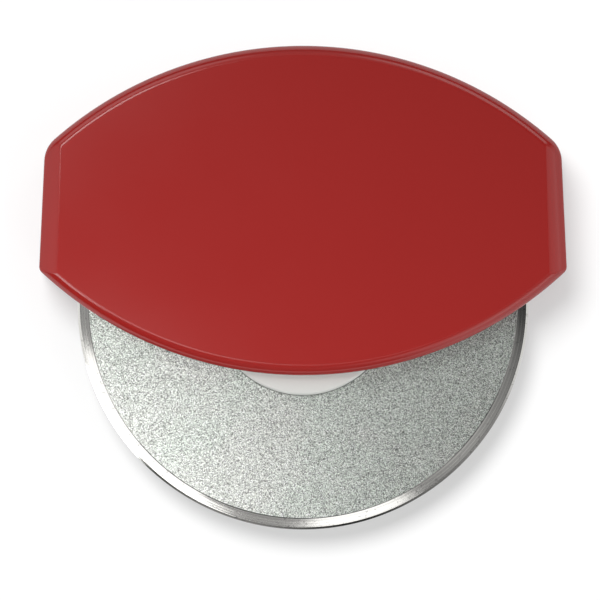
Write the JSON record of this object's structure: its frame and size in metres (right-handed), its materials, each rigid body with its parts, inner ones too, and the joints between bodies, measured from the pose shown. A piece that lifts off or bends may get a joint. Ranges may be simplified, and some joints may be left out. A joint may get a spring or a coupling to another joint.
{
  "type": "pizza cutter wheel",
  "caption": "Palm-held pizza cutter: a lens-shaped plastic handle of two covers, with a large steel cutting wheel on a plastic hub that spins on a hidden axle.",
  "frame": {"origin": "on the rear cover's flat outer face, where the wheel's axis meets it", "axes": "+Z along the wheel's axis, out of the front cover; +Y from the axis to the handle's crown, which sits in the palm; +X along the handle's length"},
  "size_m": [0.1186, 0.1088, 0.017],
  "materials": {
    "red_plastic": "smooth glossy moulded plastic, faintly scuffed",
    "blade_steel": "stainless sheet with a fine sparkling grain, brighter ground bevel",
    "hub_plastic": "satin white moulded plastic",
    "bush_plastic": "plain bearing plastic, slightly waxy",
    "washer_plastic": "thin stamped plastic, matt",
    "pin_steel": "ground stainless rod",
    "rivet_steel": "stainless, formed heads",
    "screw_steel": "bright zinc-plated steel"
  },
  "bodies": {
    "handle": {"front_cover": "red_plastic", "rear_cover": "red_plastic", "cover_screws": "screw_steel", "axle_pin": "pin_steel", "front_washer": "washer_plastic", "rear_washer": "washer_plastic"},
    "wheel": {"hub_bush": "bush_plastic", "front_hub": "hub_plastic", "rear_hub": "hub_plastic", "hub_rivets": "rivet_steel", "blade": "blade_steel"}
  },
  "joints": [
    {"name": "wheel_spin", "type": "hinge", "parent": "handle", "child": "wheel", "pos_m": [0, 0, 0.0085], "axis": [0, 0, 1], "continuous": true}
  ]
}
